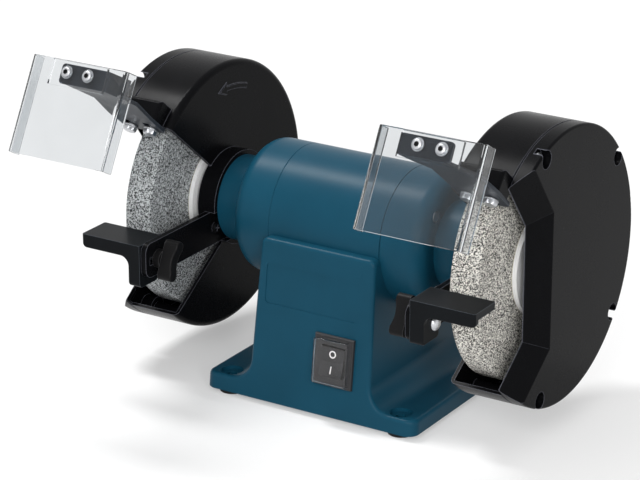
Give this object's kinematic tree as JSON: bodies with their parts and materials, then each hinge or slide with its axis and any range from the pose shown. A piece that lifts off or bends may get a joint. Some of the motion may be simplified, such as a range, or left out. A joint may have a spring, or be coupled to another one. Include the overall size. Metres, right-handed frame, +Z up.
{
  "type": "bench grinder",
  "caption": "Double-ended bench grinder on a pedestal base, with guarded abrasive wheels, adjustable tool rests, clear eye shields and a front rocker switch.",
  "frame": {"origin": "on the bench, in the middle of the four base bolt holes, below the shaft's middle", "axes": "+Z up, +X along the shaft to the operator's right, -Y towards the operator"},
  "size_m": [0.4136, 0.3205, 0.3005],
  "materials": {
    "body_paint": "satin teal-blue paint on a light-alloy casting",
    "guard_paint": "satin black paint",
    "rest_paint": "satin dark grey paint",
    "bracket_paint": "satin slate paint",
    "coarse_abrasive": "open, coarse, glass-bonded cool grey grit",
    "fine_abrasive": "open, fine, glass-bonded warm grey grit",
    "bright_steel": "turned, oiled",
    "zinc_steel": "zinc plated",
    "flange_metal": "turned, matt silver",
    "core_steel": "stacked sheets, varnished",
    "copper_wire": "varnished copper windings",
    "clear_lens": "clear moulded sheet",
    "clear_cover": "soft clear moulding",
    "dark_plastic": "matt black",
    "knob_plastic": "matt brown-black",
    "grey_plastic": "matt grey",
    "pale_plastic": "matt pale grey",
    "black_rubber": "matt",
    "card": "pressed card"
  },
  "bodies": {
    "frame": {"motor_housing": "body_paint", "base_closing_plate": "zinc_steel", "closing_plate_screws": "zinc_steel", "rubber_feet": "black_rubber", "left_end_shield": "body_paint", "right_end_shield": "body_paint", "tie_bolts": "zinc_steel", "stator_core": "core_steel", "stator_windings": "copper_wire", "run_capacitor": "flange_metal", "capacitor_clip": "zinc_steel", "terminal_block": "pale_plastic", "cord_gland": "black_rubber", "switch_frame": "grey_plastic", "switch_dust_cover": "clear_cover", "left_bearing_outer_race": "bright_steel", "right_bearing_outer_race": "bright_steel", "wave_washer": "bright_steel", "left_guard_drum": "guard_paint", "right_guard_drum": "guard_paint", "left_guard_cover": "guard_paint", "right_guard_cover": "guard_paint", "cover_screws": "zinc_steel", "guard_bolts": "zinc_steel", "left_rest_arm": "guard_paint", "right_rest_arm": "guard_paint", "arm_screws": "zinc_steel", "clamp_bolts": "zinc_steel"},
    "spindle": {"shaft": "bright_steel", "rotor_core": "core_steel", "left_grinding_wheel": "coarse_abrasive", "left_inner_flange": "flange_metal", "left_outer_flange": "flange_metal", "left_wheel_nut": "zinc_steel", "left_bearing_inner_race": "bright_steel", "left_bearing_balls": "bright_steel", "left_blotters": "card", "right_grinding_wheel": "fine_abrasive", "right_inner_flange": "flange_metal", "right_outer_flange": "flange_metal", "right_wheel_nut": "zinc_steel", "right_bearing_inner_race": "bright_steel", "right_bearing_balls": "bright_steel", "right_blotters": "card"},
    "switch_rocker": {"switch_rocker": "dark_plastic"},
    "left_rest_slider": {"left_rest_bolt": "zinc_steel"},
    "left_tool_rest": {"left_tool_rest": "rest_paint"},
    "left_rest_knob": {"left_rest_knob": "knob_plastic"},
    "left_eye_shield": {"left_lens": "clear_lens", "left_bracket": "bracket_paint", "left_lens_screws": "zinc_steel"},
    "right_rest_slider": {"right_rest_bolt": "zinc_steel"},
    "right_tool_rest": {"right_tool_rest": "rest_paint"},
    "right_rest_knob": {"right_rest_knob": "knob_plastic"},
    "right_eye_shield": {"right_lens": "clear_lens", "right_bracket": "bracket_paint", "right_lens_screws": "zinc_steel"}
  },
  "joints": [
    {"name": "spindle_spin", "type": "hinge", "parent": "frame", "child": "spindle", "pos_m": [0, 0, 0.145], "axis": [1, 0, 0], "continuous": true},
    {"name": "switch_rock", "type": "hinge", "parent": "frame", "child": "switch_rocker", "pos_m": [0.0235, -0.07802, 0.05262], "axis": [1, 0, 0], "range_deg": [0, 16]},
    {"name": "left_rest_slide", "type": "slide", "parent": "frame", "child": "left_rest_slider", "axis": [0, -1, 0], "range_m": [-0.001, 0.008]},
    {"name": "left_rest_tilt", "type": "hinge", "parent": "left_rest_slider", "child": "left_tool_rest", "pos_m": [-0.134, -0.117, 0.126], "axis": [1, 0, 0], "range_deg": [-3, 25]},
    {"name": "left_knob_turn", "type": "hinge", "parent": "left_rest_slider", "child": "left_rest_knob", "pos_m": [-0.134, -0.117, 0.126], "axis": [1, 0, 0], "range_deg": [0, 270]},
    {"name": "left_shield_slide", "type": "slide", "parent": "frame", "child": "left_eye_shield", "axis": [0, -0.766, 0.6428], "range_m": [-0.008, 0.001]},
    {"name": "right_rest_slide", "type": "slide", "parent": "frame", "child": "right_rest_slider", "axis": [0, -1, 0], "range_m": [-0.001, 0.008]},
    {"name": "right_rest_tilt", "type": "hinge", "parent": "right_rest_slider", "child": "right_tool_rest", "pos_m": [0.134, -0.117, 0.126], "axis": [1, 0, 0], "range_deg": [-3, 25]},
    {"name": "right_knob_turn", "type": "hinge", "parent": "right_rest_slider", "child": "right_rest_knob", "pos_m": [0.134, -0.117, 0.126], "axis": [1, 0, 0], "range_deg": [0, 270]},
    {"name": "right_shield_slide", "type": "slide", "parent": "frame", "child": "right_eye_shield", "axis": [0, -0.766, 0.6428], "range_m": [-0.001, 0.008]}
  ]
}
